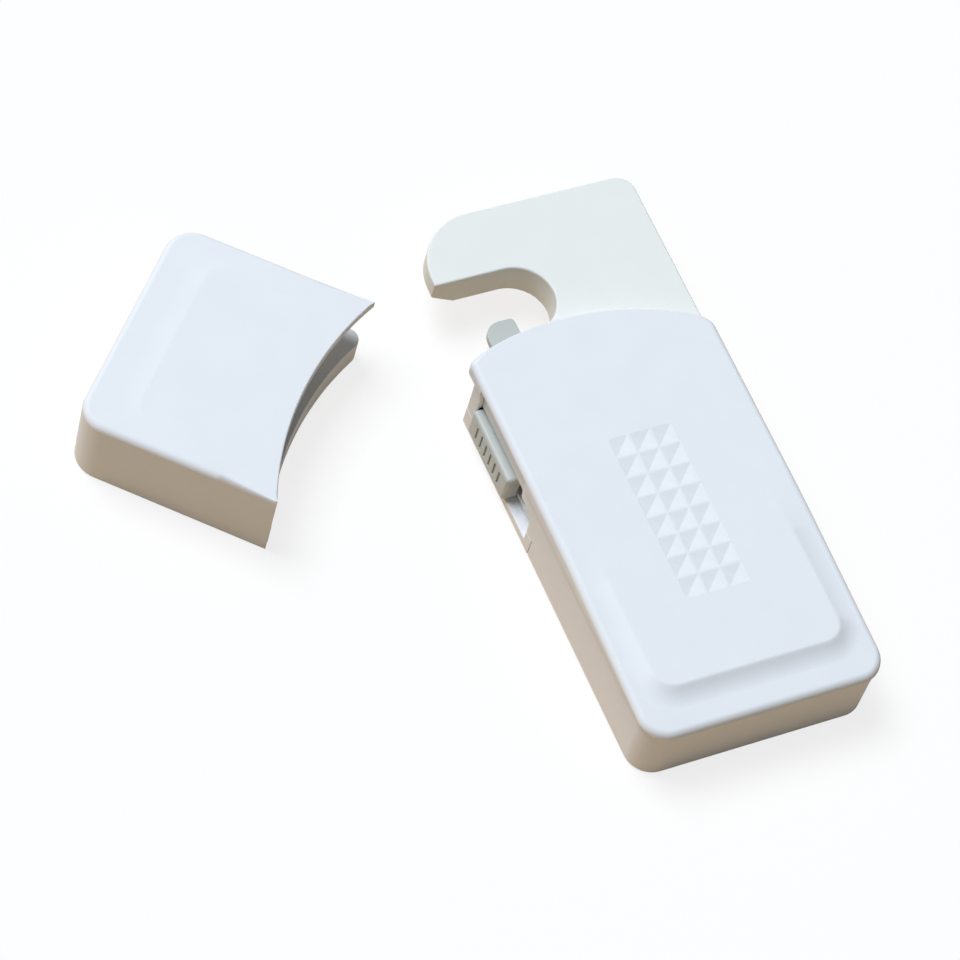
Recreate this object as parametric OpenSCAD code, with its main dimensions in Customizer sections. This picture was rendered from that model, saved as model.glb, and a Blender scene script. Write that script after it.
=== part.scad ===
// Stick-on cabinet safety lock: a housing that turns on a disc stuck to the cabinet and carries a hook,
// a slider whose tongue closes the mouth of the hook, and a separate catch with a post that the hook takes.
// Origin on the pivot axis, at the face of the cabinet; +Y towards the hook, +Z away from the cabinet.

/* [Housing] */
// Width over the lid
housing_w = 40; // [36:0.5:46]
// From the pivot axis to the rear edge of the lid
housing_rear = 22.5; // [21.5:0.25:28]
// Radius of the lid's front edge
front_r = 45.6; // [44.6:0.1:50]
// How far the centre of the front edge lies left of the pivot axis
arc_left = 3.1; // [2:0.1:3.6]
// How far the centre of the front edge lies ahead of the pivot axis
arc_ahead = 3.1; // [2.6:0.1:6]
// Radius of the lid's rear corners
corner_r = 4.5; // [3.5:0.25:6]
// Thickness of the lid at its flat top
lid_t = 2.4; // [2.2:0.1:4]
// How far the lid stands out past the side and rear walls
lid_lip = 0.35; // [0.1:0.05:0.6]
// How far the lid stands out past the front wall
front_lip = 2.3; // [1.6:0.1:2.6]
// Thickness of the housing's walls
wall_t = 1.6; // [1.4:0.1:1.7]
// Gap between the housing's skirt and the cabinet
skirt_gap = 0.3; // [0.2:0.05:0.5]
// Thickness of the floor
floor_t = 1.7; // [1.4:0.1:2]
// Radius of the lid's screw bosses
boss_r = 2.6; // [2.2:0.1:3]

/* [Pad and grip] */
// Width of the raised pad
pad_w = 30.4; // [24:0.2:34]
// From the lid's rear edge to the pad
pad_margin = 7; // [5:0.25:10]
// Radius of the pad's rear corners
pad_corner_r = 3; // [1:0.25:5]
// How far the rim round the pad falls at the rear edge
rim_drop = 1.5; // [0.5:0.1:1.8]
// Length over which the rim falls, from the rear edge
rim_run = 37; // [20:0.5:50]
// Spacing of the sunk pyramids
grip_pitch = 3.65; // [2.5:0.05:4]
// Flat land between two pyramids
grip_land = 0.2; // [0.1:0.05:0.6]
// Depth of a pyramid
grip_depth = 0.45; // [0.3:0.05:1.2]
// Pyramids across the pad
grip_columns = 3; // [1:1:5]
// Pyramids along the pad
grip_rows = 8; // [2:1:9]
// From the lid's rear edge to the first row
grip_start = 19.8; // [14:0.2:24]

/* [Hook] */
// Thickness of the hook plate
hook_t = 5.8; // [5.4:0.1:8]
// How far the hook stands out past the sweep of the lid's front edge
hook_out = 22.7; // [21.4:0.1:28]
// Width of the beak
beak_w = 11.5; // [10.5:0.1:12]
// Radius of the slot's round end
slot_r = 5.9; // [4.8:0.1:6.2]
// From the pivot axis across to the centre of the slot's round end
slot_x = 6.9; // [5.6:0.1:7.4]
// How far the hook's right edge lies inside the lid's side
hook_inset = 0.25; // [0.1:0.05:1.2]
// How far the hook's tip lies inside the lid's side
tip_inset = 1.4; // [1.3:0.1:3]
// Radius of the hook's right front corner
hook_corner_r = 3; // [1:0.25:5]
// Radius of the beak's front corner
beak_corner_r = 10.2; // [4:0.1:10.4]
// Length of the ramp under the tip
tip_ramp_l = 4; // [2:0.25:6]
// Height of the ramp under the tip
tip_ramp_h = 2.4; // [1:0.1:3.6]

/* [Slider] */
// Height of the button
button_h = 5.3; // [4.6:0.1:6.5]
// How far the button stands out of the wall
button_proud = 0.8; // [0.4:0.1:1.4]
// From the pivot axis to the locked button's rear end, as a share of the way to the left wall's front corner
button_share = 0.624; // [0.612:0.002:0.636]
// From the front corner of the left wall to the button's front end
button_front = 2.9; // [2.6:0.1:4]
// How far the slider moves back
slider_travel = 6; // [5.5:0.25:6.5]
// How far the tongue stands out past the sweep of the lid's front edge, when locked
tongue_out = 3.2; // [2.6:0.1:4.6]
// Width of the tongue
tongue_w = 5.3; // [4:0.1:6.6]
// Thickness of the tongue
tongue_t = 1.2; // [0.8:0.1:2]
// Radius of the tongue's outer corner
tongue_corner_r = 2.8; // [1:0.1:3]
// Depth of the recess round the button
recess_depth = 1.8; // [1.7:0.05:2]
// Height of the lip under the button
lip_h = 1.6; // [1.2:0.1:1.6]
// Grip grooves on the button
groove_count = 6; // [3:1:7]
// Room left at the button's ends, in spacings of the grooves
groove_room = 2.1; // [1.5:0.1:4]
// Width of a groove
groove_w = 0.5; // [0.3:0.05:0.8]
// Height of a groove
groove_h = 3; // [2:0.1:4]
// Depth of a groove
groove_d = 0.4; // [0.2:0.05:0.6]

/* [Pivot] */
// Thickness of the adhesive foam
foam_t = 1; // [0.8:0.1:1.2]
// How far the round foam pad lies inside the edge of the turntable disc
foam_inset = 0.5; // [0.2:0.1:3]
// Width of the floor that is left beside the turntable disc
floor_side = 1.95; // [1.8:0.05:2.6]
// Thickness of the turntable disc
base_t = 2; // [1.6:0.1:2.4]
// Radius of the thrust shoulder on the disc
shoulder_r = 9; // [8:0.25:11]
// Height of the thrust shoulder on the disc
shoulder_h = 2; // [1.8:0.1:2.6]
// Radius of the pivot post
post_r = 4; // [3.5:0.1:4.5]
// Wall of the bearing bush
bush_t = 1.4; // [1:0.1:1.8]
// How far the housing turns to open, in degrees
turn_range = 45; // [30:1:60]

/* [Catch] */
// Length of the catch on its middle line
catch_l = 28.8; // [28.5:0.1:34]
// Radius of the catch's hollow edge
catch_arc_r = 55.4; // [52:0.1:60]
// Gap between the lid's sweep and the catch when closed
close_gap = 0.6; // [0.4:0.1:1.2]
// Radius of the catch's outer corners
catch_corner_r = 4.7; // [3:0.1:6]
// Thickness of the catch's walls
catch_wall_t = 1; // [0.8:0.05:1]
// How far the catch's rim falls at its outer edge
catch_rim_drop = 1.2; // [0.4:0.1:1.6]
// How far the lower plate stands out past the catch's cover
sill_out = 0.3; // [0.2:0.05:0.5]
// Radius of the strike post
strike_r = 3.5; // [3:0.1:4]
// Where the middle of the catch's outer edge lies, across
catch_x = -67.2; // [-90:0.1:-60]
// Where the middle of the catch's outer edge lies, along
catch_y = 67.4; // [40:0.1:90]
// How far the catch is turned, in degrees
catch_turn = 46.4; // [0:0.1:90]

/* [Fasteners] */
// Radius of the small screws
screw_r = 1.1; // [0.9:0.05:1.2]
// Radius of the small screws' heads
screw_head_r = 2.1; // [1.8:0.05:2.2]
// Height of the small screws' heads
screw_head_h = 1.2; // [0.9:0.1:1.3]
// Radius of the pivot screw
pivot_screw_r = 1.5; // [1.2:0.1:1.8]
// Radius of the pivot screw's head
pivot_head_r = 3; // [2.4:0.1:3.6]
// Height of the pivot screw's head
pivot_head_h = 1.5; // [1.2:0.1:1.6]

/* [Hidden] */
$fn = 96;

// Clearances
fit_gap = 0.02;
running_gap = 0.05;
slide_gap = 0.25;
seat_gap = 0.1;
cut_over = 1;

// Heights of the stack on the pivot
base_z = foam_t + base_t;
hook_z = base_z + shoulder_h + running_gap;
hook_top = hook_z + hook_t;
lid_z = hook_top + slide_gap;
top_z = lid_z + lid_t;
washer_t = 0.8;
drag_gap = 0.3;
head_room = 0.4;
washer_r = 8;
washer_z = lid_z - head_room - pivot_head_h - washer_t;
well_z = washer_z - drag_gap;
well_r = washer_r + slide_gap;

// Plan of the housing
half_w = housing_w / 2;
wall_x = half_w - lid_lip;
inner_x = wall_x - wall_t;
wall_rear = housing_rear - lid_lip;
inner_rear = wall_rear - wall_t;
wall_front_r = front_r - front_lip;
inner_front_r = wall_front_r - wall_t;
wall_corner_r = corner_r - lid_lip;
inner_corner_r = wall_corner_r - wall_t;
swing_r = front_r + norm([arc_left, arc_ahead]);
left_front_y = arc_ahead + sqrt(pow(wall_front_r, 2) - pow(wall_x - arc_left, 2));
floor_z = skirt_gap + floor_t;

// Slider, recess and lip
button_start = button_share * left_front_y;
button_l = left_front_y - button_front - button_start;
groove_pitch = button_l / (groove_count + groove_room);
recess_x = wall_x - recess_depth;
recess_wall_t = 1.2;
recess_front_gap = 0.3;
scoop_r = 2.4;
scoop_rise = scoop_r - sqrt(pow(scoop_r, 2) - pow(recess_depth - slide_gap, 2));
recess_rear_y = button_start - slider_travel - slide_gap - scoop_rise;
recess_front_y = button_start + button_l + recess_front_gap;
lip_z = skirt_gap + lip_h;
lip_tab_l = 2;
lip_rear_y = recess_rear_y - lip_tab_l;
corner_lip_h = 1.9;
tab_top = lip_z + corner_lip_h;
button_z = lip_z + slide_gap;
recess_top = button_z + button_h + slide_gap;
step_depth = 0.5;
step_r = 12;
carriage_left = recess_x - recess_wall_t - slide_gap;
carriage_w = 7.8;
carriage_right = carriage_left - carriage_w;
carriage_inset = 0.5;
carriage_y = button_start + carriage_inset;
carriage_over = 1.2;
carriage_l = button_l + carriage_over;
carriage_z = base_z + shoulder_h + slide_gap;
tongue_reach = swing_r + tongue_out;
tongue_drop = 1.25;
tongue_z = hook_top - tongue_drop - tongue_t;
neck_share = 0.27;
neck_inset = button_l * neck_share;
neck_start = button_start + neck_inset;
neck_end = button_start + button_l - neck_inset;
neck_drop = 1.1;
neck_bottom = button_z + neck_drop;
neck_top = button_z + button_h - neck_drop;

// Detent of the slider
spring_t = 0.3;
spring_off = 0.85;
spring_x = carriage_right - spring_off;
bump_r = 1.05;
notch_r = bump_r + slide_gap;
bump_y = carriage_y + carriage_l / 5;
spring_margin = 1;
spring_post_w = 3;
spring_post_l = 4;
spring_post_y = carriage_y - slider_travel - spring_post_l - slide_gap;
rail_w = 2;
rail_inset = cut_over + slide_gap;
neck_left = spring_x - spring_post_w / 2 - slide_gap;

// Screw bosses of the lid, with their seats on the floor
boss_inset = 3.85;
boss_seat_r = 3.9;
boss_seat_h = 1.3;
boss_seat_z = floor_z + boss_seat_h;
boss_side_x = inner_x - boss_inset;
boss_rear_y = -inner_rear + boss_inset;
boss_left_x = boss_side_x + slide_gap;
boss_left_y = recess_rear_y - recess_wall_t - boss_seat_r - slide_gap;
hook_boss_side = 5.05;
hook_boss_inset = 9.4;
hook_boss_x = inner_x - hook_boss_side;
hook_boss_y = arc_ahead + sqrt(pow(inner_front_r, 2) - pow(hook_boss_x + arc_left, 2)) - hook_boss_inset;
boss_at = [[-boss_side_x, boss_rear_y], [boss_side_x, boss_rear_y],
    [-boss_left_x, boss_left_y], [hook_boss_x, hook_boss_y]];
screw_l = 6;
recess_share = 0.55;

// Turntable disc, between the walls and clear of the bosses
floor_hole_r = min(inner_x - floor_side, norm([boss_left_x, boss_left_y]) - boss_seat_r) - seat_gap;
base_r = floor_hole_r - 2 * slide_gap;
foam_r = base_r - foam_inset;
hub_margin = 3;
hub_r = floor_hole_r - hub_margin;

// Hook
hook_reach = swing_r + hook_out;
hook_right = half_w - hook_inset;
hook_left = half_w - tip_inset;
slot_y = hook_reach - beak_w - slot_r;
neck_right = inner_x - slide_gap;
shoulder_y = arc_ahead + sqrt(pow(wall_front_r, 2) - pow(inner_x + arc_left, 2)) + slide_gap;
bush_r = post_r + running_gap + bush_t;
hook_screw_shares = [[0.025, 0.29], [0.25, 0.5]];
hook_screw_at = [for (share = hook_screw_shares) [share.x * half_w, share.y * hook_reach]];
hook_screw_l = 6.6;
hook_screw_seat_r = 3;

// Stop between floor and turntable disc
stop_tab_angle = 16;
stop_slack = 1;
stop_depth = 2.4;

// Catch, in its own frame: outer edge on y = 0, round side towards -Y
closed_y = swing_r + close_gap + catch_l;
catch_arc_y = -catch_l - catch_arc_r;
sill_z = hook_z - slide_gap;
pocket_z = hook_top + slide_gap;
catch_side_l = 5.9;
catch_pad_margin = 5;
catch_pad_end = 8;
catch_rim_run = 24;
sill_right = half_w - seat_gap;
sill_corner_r = 2;
strike_play = 0.7;
strike_x = slot_x - slot_r + strike_r + strike_play;
strike_y = slot_y - closed_y;
spigot_r = 2;
spigot_h = 1;
catch_boss_r = 1.9;
catch_boss_x = 13;
catch_boss_y = -catch_wall_t - screw_head_r - 4 * seat_gap;
catch_foam_x = 15.5;
catch_foam_start = 27;
catch_foam_end = screw_head_r - catch_boss_y + cut_over;
catch_foam_r = 2;

// Outline of the housing: straight sides, round rear corners and an arc in front
module housing_plan(side, rear, arc_r, round_r) {
    intersection() {
        union() {
            translate([-side, round_r - rear]) square([2 * side, rear - round_r + arc_r + arc_ahead]);
            translate([round_r - side, -rear]) square([2 * (side - round_r), 2 * round_r]);
            for (s = [-1, 1]) translate([s * (side - round_r), round_r - rear]) circle(round_r);
        }
        translate([-arc_left, arc_ahead]) circle(arc_r);
    }
}

// Outline of the catch: straight sides, round outer corners and a hollow arc towards the housing
module catch_plan(side, end, arc_r, round_r) {
    difference() {
        union() {
            translate([-side, -catch_l - side]) square([2 * side, catch_l + side + end - round_r]);
            translate([round_r - side, end - 2 * round_r]) square([2 * (side - round_r), 2 * round_r]);
            for (s = [-1, 1]) translate([s * (side - round_r), end - round_r]) circle(round_r);
        }
        translate([0, catch_arc_y]) circle(arc_r);
    }
}

// Rectangle with round corners, between two opposite corners
module round_rect(low, high, round_r) {
    size = high - low;
    translate([low.x + round_r, low.y]) square([size.x - 2 * round_r, size.y]);
    translate([low.x, low.y + round_r]) square([size.x, size.y - 2 * round_r]);
    for (x = [low.x + round_r, high.x - round_r])
        for (y = [low.y + round_r, high.y - round_r])
            translate([x, y]) circle(round_r);
}

// Box between two opposite corners
module block(low, high) {
    translate(low) cube(high - low);
}

// Wedge over a falling rim: nothing at flush_y, drop deep at edge_y
module falling_wedge(flush_y, edge_y, drop, side) {
    slope = drop / (edge_y - flush_y);
    past_y = edge_y + (edge_y > flush_y ? cut_over : -cut_over);
    rotate([90, 0, 90]) translate([0, 0, -side - cut_over])
        linear_extrude(2 * (side + cut_over))
            polygon([[flush_y, top_z], [past_y, top_z - slope * (past_y - flush_y)],
                [past_y, top_z + cut_over], [flush_y, top_z + cut_over]]);
}

// Pan-head screw with a cross recess; its seat is at the origin and its shank points down
module screw(r, l, head_r, head_h) {
    slot_w = head_r * recess_share / 2;
    slot_l = head_r * recess_share;
    translate([0, 0, -l]) cylinder(r = r, h = l + head_h / 2);
    difference() {
        cylinder(r = head_r, h = head_h);
        translate([-slot_l, -slot_w / 2, head_h / 2]) cube([2 * slot_l, slot_w, head_h]);
        translate([-slot_w / 2, -slot_l, head_h / 2]) cube([slot_w, 2 * slot_l, head_h]);
    }
}

// Moves the catch to the place where it lies
module place_catch() {
    translate([catch_x, catch_y, 0]) rotate(catch_turn) children();
}

// Wedge-shaped sector in plan
module sector(r, from_angle, to_angle) {
    mid = (from_angle + to_angle) / 2;
    polygon([[0, 0], [r * cos(from_angle), r * sin(from_angle)], 2 * r * [cos(mid), sin(mid)],
        [r * cos(to_angle), r * sin(to_angle)]]);
}

module mount_foam() {
    color("gainsboro") cylinder(r = foam_r, h = foam_t);
}

module mount_base() {
    half_tab = stop_tab_angle / 2 + stop_slack;
    color("white") difference() {
        union() {
            translate([0, 0, foam_t]) cylinder(r = base_r, h = base_t);
            translate([0, 0, foam_t]) cylinder(r = shoulder_r, h = base_t + shoulder_h);
            translate([0, 0, foam_t]) cylinder(r = post_r, h = washer_z - foam_t);
        }
        translate([0, 0, base_z]) cylinder(r = pivot_screw_r + fit_gap, h = top_z);
        translate([0, 0, foam_t - cut_over]) linear_extrude(base_t + 2 * cut_over) difference() {
            sector(2 * base_r, -90 - turn_range - half_tab, -90 + half_tab);
            circle(base_r - stop_depth);
        }
    }
}

module pivot_washer() {
    color("silver") translate([0, 0, washer_z]) difference() {
        cylinder(r = washer_r, h = washer_t);
        translate([0, 0, -cut_over]) cylinder(r = pivot_screw_r + fit_gap, h = washer_t + 2 * cut_over);
    }
}

module pivot_screw() {
    color("silver") translate([0, 0, washer_z + washer_t])
        screw(pivot_screw_r, washer_z + washer_t - base_z - slide_gap, pivot_head_r, pivot_head_h);
}

module wave_washer() {
    thickness = drag_gap - 2 * running_gap;
    color("silver") translate([0, 0, well_z + running_gap]) difference() {
        cylinder(r = washer_r - slide_gap, h = thickness);
        translate([0, 0, -cut_over]) cylinder(r = bush_r + slide_gap, h = thickness + 2 * cut_over);
    }
}

module grip_pyramids() {
    across = grip_pitch - grip_land;
    first = -(grip_columns - 1) / 2 * grip_pitch;
    first_y = grip_start - housing_rear + grip_pitch / 2;
    for (i = [0 : grip_columns - 1]) for (j = [0 : grip_rows - 1])
        translate([first + i * grip_pitch, first_y + j * grip_pitch, top_z - grip_depth])
            rotate(45) cylinder(r1 = 0, r2 = 2 * across / sqrt(2), h = 2 * grip_depth, $fn = 4);
}

module top_cover() {
    color("white") difference() {
        union() {
            translate([0, 0, lid_z]) linear_extrude(lid_t)
                housing_plan(half_w, housing_rear, front_r, corner_r);
            for (p = boss_at) translate([p.x, p.y, boss_seat_z])
                cylinder(r = boss_r, h = lid_z - boss_seat_z + lid_t / 2);
        }
        difference() {
            falling_wedge(rim_run - housing_rear, -housing_rear, rim_drop, half_w);
            translate([0, 0, lid_z]) linear_extrude(2 * lid_t)
                round_rect([-pad_w / 2, pad_margin - housing_rear],
                    [pad_w / 2, rim_run - housing_rear + pad_corner_r + cut_over], pad_corner_r);
        }
        for (p = boss_at) translate([p.x, p.y, boss_seat_z - cut_over])
            cylinder(r = screw_r + fit_gap, h = screw_l + cut_over);
        grip_pyramids();
    }
}

module housing_frame() {
    backing_x = recess_x - recess_wall_t;
    color("whitesmoke") difference() {
        union() {
            translate([0, 0, skirt_gap]) linear_extrude(lid_z - skirt_gap) difference() {
                housing_plan(wall_x, wall_rear, wall_front_r, wall_corner_r);
                housing_plan(inner_x, inner_rear, inner_front_r, inner_corner_r);
            }
            block([-inner_x - wall_t / 2, recess_rear_y - recess_wall_t, floor_z + seat_gap],
                [-backing_x, recess_front_y + recess_wall_t, lid_z]);
        }
        slider_recess();
        wall_step();
        block([-recess_x - cut_over, neck_start - slider_travel - slide_gap, neck_bottom - slide_gap],
            [-backing_x + cut_over, neck_end + slide_gap, neck_top + slide_gap]);
        lip_notch();
        block([-max(slot_x, neck_left) - slide_gap, 0, hook_z - slide_gap],
            [inner_x, swing_r, lid_z + cut_over]);
        block([-carriage_right - tongue_w - slide_gap, recess_front_y, tongue_z - slide_gap],
            [-carriage_right + slide_gap, swing_r, tongue_z + tongue_t + slide_gap]);
    }
}

// Step that sets the wall back over the button, running out in an arc behind it
module wall_step() {
    step_l = recess_front_y - button_start;
    translate([-wall_x, button_start, recess_top]) linear_extrude(lid_z - recess_top + cut_over) {
        translate([-cut_over, 0]) square([step_depth + cut_over, step_l]);
        intersection() {
            translate([-cut_over, -step_r]) square([step_depth + cut_over, step_r]);
            translate([step_depth - step_r, 0]) circle(step_r);
        }
    }
}

// Space for the button and its travel, scooped out at its rear end
module slider_recess() {
    translate([0, 0, lip_z]) linear_extrude(recess_top - lip_z) {
        translate([-wall_x - cut_over, recess_rear_y + scoop_r])
            square([recess_depth + cut_over, recess_front_y - recess_rear_y - scoop_r]);
        intersection() {
            translate([-wall_x - cut_over, recess_rear_y]) square([recess_depth + cut_over, 2 * scoop_r]);
            translate([-wall_x, recess_rear_y + scoop_r]) circle(scoop_r);
        }
    }
}

// Part of the wall that the floor's lip and its two tabs take the place of
module lip_notch() {
    block([-wall_x - cut_over, lip_rear_y, skirt_gap - cut_over], [-inner_x + seat_gap, swing_r, lip_z]);
    block([-wall_x - cut_over, lip_rear_y, skirt_gap - cut_over], [-inner_x, recess_rear_y, tab_top]);
    block([-wall_x - cut_over, recess_front_y, skirt_gap - cut_over], [-inner_x, swing_r, tab_top]);
}

module bottom_plate() {
    seat_side = inner_x - seat_gap;
    tab_half = stop_tab_angle / 2;
    tab_z = foam_t + slide_gap;
    post_left = spring_x + spring_post_w / 2;
    color("whitesmoke") difference() {
        union() {
            translate([0, 0, skirt_gap]) linear_extrude(floor_t) difference() {
                housing_plan(seat_side, inner_rear - seat_gap, inner_front_r - seat_gap, inner_corner_r);
                circle(floor_hole_r);
            }
            slider_lip(lip_z - seat_gap / 2, lip_rear_y + seat_gap / 2, recess_front_y + cut_over,
                seat_side - cut_over);
            slider_lip(tab_top - seat_gap / 2, lip_rear_y + seat_gap / 2, recess_rear_y - seat_gap / 2,
                inner_x + seat_gap / 2);
            slider_lip(tab_top - seat_gap / 2, recess_front_y + seat_gap / 2, swing_r,
                inner_x + seat_gap / 2);
            for (p = boss_at) translate([p.x, p.y, skirt_gap]) intersection() {
                cylinder(r = boss_seat_r, h = boss_seat_z - skirt_gap);
                translate([-p.x, -p.y, -cut_over]) linear_extrude(top_z)
                    housing_plan(seat_side, inner_rear - seat_gap, inner_front_r - seat_gap, inner_corner_r);
            }
            for (p = hook_screw_at) translate([p.x, p.y, skirt_gap])
                cylinder(r = hook_screw_seat_r, h = hook_z - skirt_gap);
            for (x = [-carriage_left + rail_inset, -carriage_right - rail_inset - rail_w])
                block([x, carriage_y - slider_travel, skirt_gap],
                    [x + rail_w, recess_front_y, carriage_z - slide_gap]);
            block([-post_left, spring_post_y, skirt_gap],
                [-post_left + spring_post_w, spring_post_y + spring_post_l, tongue_z]);
            translate([0, 0, tab_z]) linear_extrude(floor_z - tab_z) intersection() {
                sector(2 * base_r, -90 - tab_half, -90 + tab_half);
                difference() {
                    circle(floor_hole_r + cut_over);
                    circle(base_r - stop_depth + slide_gap);
                }
            }
        }
        block([-spring_x - spring_t / 2 - fit_gap, spring_post_y - cut_over, carriage_z],
            [-spring_x + spring_t / 2 + fit_gap, spring_post_y + spring_post_l + cut_over, top_z]);
        for (p = boss_at) translate([p.x, p.y, 0]) {
            cylinder(r = screw_r + fit_gap, h = top_z);
            cylinder(r = screw_head_r + seat_gap, h = skirt_gap + screw_head_h + seat_gap);
        }
        for (p = hook_screw_at) translate([p.x, p.y, floor_z - seat_gap])
            cylinder(r = screw_r + fit_gap, h = top_z);
    }
}

// Lip of the floor that closes the wall under the slider, from one y to another and up to z
module slider_lip(z, from_y, to_y, to_x) {
    translate([0, 0, skirt_gap]) linear_extrude(z - skirt_gap) intersection() {
        housing_plan(wall_x, wall_rear, wall_front_r, wall_corner_r);
        translate([-half_w, from_y]) square([half_w - to_x, to_y - from_y]);
    }
}

// Plan of the hook plate: beak, arm with the slot's round end, neck and hub
module hook_outline() {
    beak_y = hook_reach - beak_w;
    difference() {
        union() {
            translate([-hook_left + beak_corner_r, beak_y])
                square([hook_left + hook_right - beak_corner_r - hook_corner_r, beak_w]);
            translate([-hook_left, beak_y]) square([hook_left + hook_right, beak_w - beak_corner_r]);
            translate([hook_right - 2 * hook_corner_r, beak_y])
                square([2 * hook_corner_r, beak_w - hook_corner_r]);
            intersection() {
                translate([beak_corner_r - hook_left, hook_reach - beak_corner_r]) circle(beak_corner_r);
                translate([-hook_left, beak_y]) square([2 * beak_corner_r, beak_w]);
            }
            translate([hook_right - hook_corner_r, hook_reach - hook_corner_r]) circle(hook_corner_r);
            translate([-slot_x, shoulder_y]) square([slot_x + hook_right, beak_y - shoulder_y + cut_over]);
            translate([-neck_left, 0]) square([neck_left + neck_right, shoulder_y + cut_over]);
            circle(hub_r);
        }
        translate([-slot_x, slot_y]) circle(slot_r);
    }
}

module hook_plate() {
    color("white") difference() {
        translate([0, 0, hook_z]) linear_extrude(hook_t) hook_outline();
        cylinder(r = bush_r + fit_gap, h = top_z);
        translate([0, 0, well_z]) cylinder(r = well_r, h = top_z);
        translate([hook_boss_x, hook_boss_y, 0]) cylinder(r = boss_r + slide_gap, h = top_z);
        for (p = hook_screw_at) translate([p.x, p.y, 0]) {
            cylinder(r = screw_r + fit_gap, h = top_z);
            translate([0, 0, hook_top - screw_head_h - slide_gap])
                cylinder(r = screw_head_r + seat_gap, h = top_z);
        }
        rotate([90, 0, 0]) translate([0, 0, -hook_reach - cut_over])
            linear_extrude(beak_w + 2 * cut_over)
                polygon([[-hook_left - cut_over, hook_z - cut_over],
                    [-hook_left + tip_ramp_l * (1 + cut_over / tip_ramp_h), hook_z - cut_over],
                    [-hook_left, hook_z + tip_ramp_h],
                    [-hook_left - cut_over, hook_z + tip_ramp_h]]);
    }
}

module pivot_bush() {
    height = well_z - hook_z;
    color("tan") translate([0, 0, hook_z]) difference() {
        cylinder(r = bush_r, h = height);
        translate([0, 0, -cut_over]) cylinder(r = post_r + running_gap, h = height + 2 * cut_over);
    }
}

module hook_screws() {
    color("silver") for (p = hook_screw_at)
        translate([p.x, p.y, hook_top - screw_head_h - slide_gap])
            screw(screw_r, hook_screw_l, screw_head_r, screw_head_h);
}

module housing_screws() {
    color("silver") for (p = boss_at)
        translate([p.x, p.y, skirt_gap + screw_head_h + seat_gap]) rotate([180, 0, 0])
            screw(screw_r, screw_l, screw_head_r, screw_head_h);
}

module detent_spring() {
    low = carriage_z + seat_gap;
    high = tongue_z - seat_gap;
    end_y = bump_y + bump_r + 2 * spring_margin;
    color("silver") {
        block([-spring_x - spring_t / 2, spring_post_y, low], [-spring_x + spring_t / 2, end_y, high]);
        translate([-spring_x - spring_t / 2, bump_y, low]) intersection() {
            cylinder(r = bump_r, h = high - low);
            translate([-2 * bump_r, -bump_r, 0]) cube([2 * bump_r + spring_t / 2, 2 * bump_r, high - low]);
        }
    }
}

// Plan of the tongue, with its outer corner rounded; its rear left corner is at the origin
module tongue_plan() {
    length = tongue_reach - carriage_y;
    square([tongue_w, length - tongue_corner_r]);
    translate([tongue_corner_r, 0]) square([tongue_w - tongue_corner_r, length]);
    intersection() {
        translate([tongue_corner_r, length - tongue_corner_r]) circle(tongue_corner_r);
        square([tongue_w, length]);
    }
}

module lock_slider() {
    button_x = wall_x + button_proud;
    tongue_left = carriage_right + tongue_w;
    notch_x = spring_x + spring_t / 2;
    color("lightgray") difference() {
        union() {
            block([-button_x, button_start, button_z],
                [-recess_x - slide_gap, button_start + button_l, button_z + button_h]);
            block([-recess_x - cut_over, neck_start, neck_bottom],
                [-carriage_left + cut_over, neck_end, neck_top]);
            block([-carriage_left, carriage_y, carriage_z],
                [-carriage_right, carriage_y + carriage_l, tongue_z + tongue_t]);
            translate([-tongue_left, carriage_y, tongue_z]) linear_extrude(tongue_t) tongue_plan();
        }
        for (y = [bump_y, bump_y + slider_travel]) translate([-notch_x, y, 0])
            cylinder(r = notch_r, h = top_z);
        for (i = [0 : groove_count - 1])
            translate([-button_x - cut_over, 0, button_z + (button_h - groove_h) / 2])
                translate([0, button_start + button_l / 2 + (i - (groove_count - 1) / 2) * groove_pitch, 0])
                    translate([0, -groove_w / 2, 0]) cube([cut_over + groove_d, groove_w, groove_h]);
    }
}

module catch_cover() {
    inner_side = half_w - catch_wall_t;
    inner_round = catch_corner_r - catch_wall_t;
    color("white") place_catch() difference() {
        union() {
            translate([0, 0, pocket_z]) linear_extrude(top_z - pocket_z)
                catch_plan(half_w, 0, catch_arc_r, catch_corner_r);
            translate([0, 0, skirt_gap]) linear_extrude(pocket_z - skirt_gap) difference() {
                catch_plan(half_w, 0, catch_arc_r, catch_corner_r);
                catch_plan(inner_side, -catch_wall_t, catch_arc_r - cut_over, inner_round);
                translate([0, -catch_l - half_w])
                    square([half_w + cut_over, catch_l + half_w - catch_side_l]);
            }
            for (s = [-1, 1]) translate([s * catch_boss_x, catch_boss_y, sill_z])
                cylinder(r = catch_boss_r, h = pocket_z - sill_z + (top_z - pocket_z) / 2);
        }
        difference() {
            falling_wedge(-catch_rim_run, 0, catch_rim_drop, half_w);
            translate([0, 0, pocket_z]) linear_extrude(2 * lid_t)
                round_rect([catch_pad_margin - half_w, -catch_l - half_w],
                    [half_w - catch_pad_margin, -catch_pad_end], pad_corner_r);
        }
        for (s = [-1, 1]) translate([s * catch_boss_x, catch_boss_y, sill_z - cut_over])
            cylinder(r = screw_r + fit_gap, h = screw_l + cut_over);
        translate([-strike_x, strike_y, pocket_z - cut_over])
            cylinder(r = spigot_r + fit_gap, h = spigot_h + cut_over);
    }
}

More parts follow.
